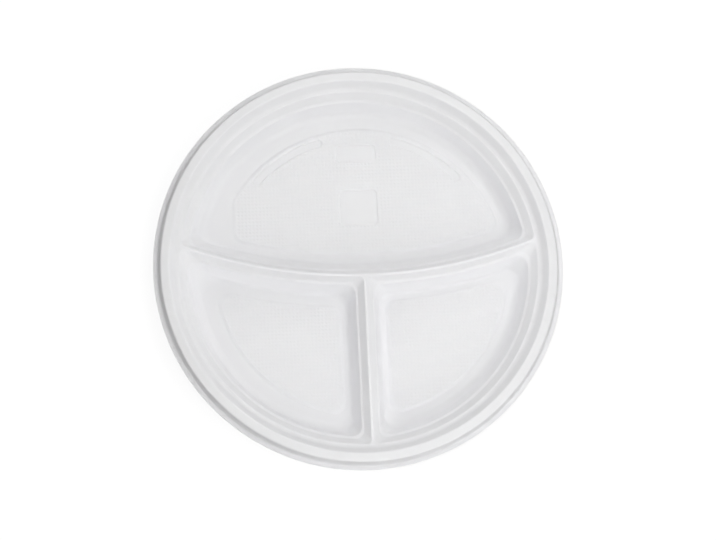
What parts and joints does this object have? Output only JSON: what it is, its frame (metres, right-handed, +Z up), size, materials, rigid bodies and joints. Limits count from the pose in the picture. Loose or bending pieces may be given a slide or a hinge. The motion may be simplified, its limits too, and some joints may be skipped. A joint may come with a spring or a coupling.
{
  "type": "divided compartment plate",
  "caption": "Round white divided plate of thin formed plastic that keeps foods apart, with curved and straight hollow dividers, ledged walls and a beaded rim with a turned-down skirt.",
  "frame": {"origin": "centre of the underside, on the surface that the plate stands on", "axes": "+Z up out of the plate, +Y towards the large compartment, +X along the long divider to the right"},
  "size_m": [0.22, 0.22, 0.0212],
  "materials": {
    "white_plastic": "satin white plastic sheet, slightly translucent"
  },
  "bodies": {
    "root": {"plate": "white_plastic"}
  },
  "joints": []
}
